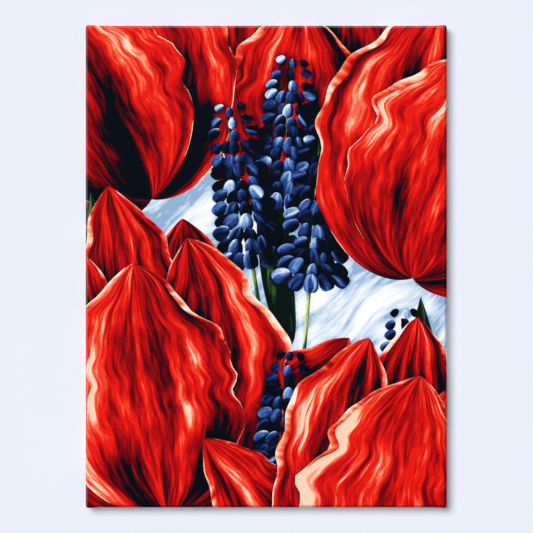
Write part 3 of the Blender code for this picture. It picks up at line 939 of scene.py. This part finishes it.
def tube(points, radius):
    """The points and faces of a thin tube with five sides that gets thinner towards its end."""
    along = np.gradient(points, axis=0)
    along /= np.linalg.norm(along, axis=1)[:, None]
    aside = np.cross(along, (0.0, 1.0, 0.0))
    aside /= np.linalg.norm(aside, axis=1)[:, None]
    out = np.cross(aside, along)
    sides = 5
    rings = []
    for number, point in enumerate(points):
        wide = radius * (1 - 0.6 * number / (len(points) - 1))
        for turn in np.arange(sides) * 2 * math.pi / sides:
            rings.append(point + wide * (math.cos(turn) * aside[number] + math.sin(turn) * out[number]))
    faces = [tuple(range(sides))[::-1], tuple(range(len(rings) - sides, len(rings)))]
    for ring in range(len(points) - 1):
        for side in range(sides):
            first, second = ring * sides + side, ring * sides + (side + 1) % sides
            faces.append((first, second, second + sides, first + sides))
    return rings, faces


def make_threads():
    """Thread ends that have come loose along the cut edges and lie on the wood."""
    draw = np.random.default_rng(8)
    points, faces = [], []
    t = np.linspace(0, 1, 7)
    for _ in range(THREADS):
        sign = draw.choice((-1, 1))
        upright = draw.random() < UPRIGHT_SHARE
        layer, half, other = (lower_layer, HALF_U, HALF_V) if upright else (upper_layer, HALF_V, HALF_U)
        length = THREAD_LENGTH + THREAD_GROWTH * draw.random() ** 2
        start = draw.uniform(-1, 1) * (other - CORNER_ROOM)
        over = sign * (half + CUT_EDGE - THREAD_ROOT + t * length)
        beside = start + length * (draw.normal(0, 0.5) * t**2 + draw.normal(0, 0.12) * np.sin(5 * t))
        corners = np.stack((over, beside) if upright else (beside, over), 1)
        line = np.stack(layer(corners), 1)
        line[:, 1] += draw.uniform(-0.2, 1.0) * THREAD_RISE * t**2 - CLOTH / 2
        line[:, 2] += CENTRE_Z
        rings, sides = tube(line, THREAD_RADIUS)
        faces += [tuple(corner + len(points) for corner in side) for side in sides]
        points += rings
    mesh = bpy.data.meshes.new("loose_threads")
    mesh.from_pydata(points, [], faces)
    mesh.shade_smooth()
    mesh.materials.append(thread())
    return new_object("loose_threads", mesh)


def paint_nodes():
    """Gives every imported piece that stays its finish."""
    pine = ((240, 214, 170), (226, 192, 142), (196, 152, 100))
    beech = ((222, 178, 132), (206, 158, 112), (176, 126, 84))
    finishes = {
        "stretcher_bar_top": wood("pine_across", "x", *pine, knots=0.62),
        "stretcher_bar_left": wood("pine_upright", "z", *pine, knots=0.62),
        "corner_key": wood("beech", "x", *beech, ring=0.002),
        "staple": metal("staple_steel", (172, 174, 178), (130, 132, 138), 0.42),
        "hanger": metal("hanger_steel", (196, 180, 132), (158, 142, 98), 0.42),
        "hanger_nail": metal("nail_steel", (198, 180, 128), (158, 140, 92), 0.36),
        "bumper": rubber(),
    }
    finishes["stretcher_bar_bottom"] = finishes["stretcher_bar_top"]
    finishes["stretcher_bar_right"] = finishes["stretcher_bar_left"]
    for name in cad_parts:
        if name != "canvas":
            match = max((key for key in finishes if name.startswith(key)), key=len)
            node = bpy.data.objects[name]
            node.data.materials.clear()
            node.data.materials.append(finishes[match])


def make_camera():
    camera = bpy.data.objects.new("camera", bpy.data.cameras.new("camera"))
    camera.data.lens = LENS
    camera.data.sensor_width = SENSOR
    camera.location = (CAMERA_X, FRONT_Y - FRAME_WIDTH * LENS / SENSOR, CENTRE_Z)
    camera.rotation_euler = (math.pi / 2, 0.0, 0.0)
    camera.data.clip_end = 50.0
    bpy.context.scene.collection.objects.link(camera)
    bpy.context.scene.camera = camera


def make_wall():
    """The wall. From behind it is clear, and it blocks no light and reflects none onto the print."""
    upright = (math.pi / 2, 0, 0)
    bpy.ops.mesh.primitive_plane_add(size=WALL_SIZE, location=(0, WALL_Y, CENTRE_Z), rotation=upright)
    wall = bpy.context.object
    wall.name = "wall"
    tree = Tree("wall_paint")
    tree.surface(Base_Color=linear(*WALL_COLOUR), Roughness=0.95, Specular_IOR_Level=0.0)
    behind = tree.node("ShaderNodeNewGeometry").outputs["Backfacing"]
    clear = tree.node("ShaderNodeBsdfTransparent").outputs[0]
    blend = tree.node("ShaderNodeMixShader")
    for socket, value in zip(blend.inputs, (behind, tree.shader.outputs[0], clear)):
        tree.tree.links.new(value, socket)
    tree.tree.links.new(blend.outputs[0], tree.tree.nodes["Material Output"].inputs["Surface"])
    wall.data.materials.append(tree.material)
    wall.visible_shadow = False
    wall.visible_diffuse = False
    wall.visible_glossy = False


def sun_light(name, direction, strength, degrees):
    light = bpy.data.lights.new(name, "SUN")
    light.energy = strength
    light.angle = math.radians(degrees)
    holder = bpy.data.objects.new(name, light)
    holder.rotation_euler = Vector(direction).to_track_quat("-Z", "Y").to_euler()
    bpy.context.scene.collection.objects.link(holder)
    return holder


def area_light(name, location, target, size, power):
    """A light of that width and height at one place, turned towards another."""
    light = bpy.data.lights.new(name, "AREA")
    light.shape = "RECTANGLE"
    light.size, light.size_y = size
    light.energy = power
    holder = bpy.data.objects.new(name, light)
    holder.location = location
    holder.rotation_euler = (Vector(target) - Vector(location)).to_track_quat("-Z", "Y").to_euler()
    bpy.context.scene.collection.objects.link(holder)
    return holder


def make_lights(part):
    """Even light on the front, a shine on the left and top edges, and light for the back.

    The shine comes from beside the print, level with its sides, so it misses the front and the back. It
    and the back lights fall on the part alone, so the wall stays even.
    """
    world = bpy.data.worlds.new("studio")
    world.use_nodes = True
    background = world.node_tree.nodes["Background"]
    background.inputs["Color"].default_value = (*linear(*WALL_COLOUR), 1.0)
    background.inputs["Strength"].default_value = WORLD
    bpy.context.scene.world = world
    sun_light("key", KEY_DIRECTION, KEY, KEY_DEGREES)
    sun_light("front", FILL_DIRECTION, FILL, FILL_DEGREES)
    only_part = []
    side_y = FRONT_Y + DEPTH / 2
    for name, place, size in (
        ("left_edge", (-SHINE_AWAY, side_y, CENTRE_Z), (SHINE_WIDTH, SHINE_LENGTH)),
        ("top_edge", (0.0, side_y, CENTRE_Z + SHINE_AWAY), (SHINE_LENGTH, SHINE_WIDTH)),
    ):
        light = area_light(name, place, (0.0, side_y, CENTRE_Z), size, SHINE_POWER)
        light.visible_diffuse = False
        only_part.append(light)
    middle = (0.0, FRONT_Y, CENTRE_Z)
    for name, x, y, up, width, power in BACK_LIGHTS:
        only_part.append(area_light(name, (x, y, CENTRE_Z + up), middle, (width, width), power))
    lit = bpy.data.collections.new("lit_from_the_edges")
    for piece in part:
        lit.objects.link(piece)
    for light in only_part:
        light.light_linking.receiver_collection = lit


bpy.context.scene.view_settings.view_transform = "Standard"
cloth = make_cloth()
threads = make_threads()
paint_nodes()
make_wall()
make_lights([cloth, threads] + [bpy.data.objects[name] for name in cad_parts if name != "canvas"])
make_camera()
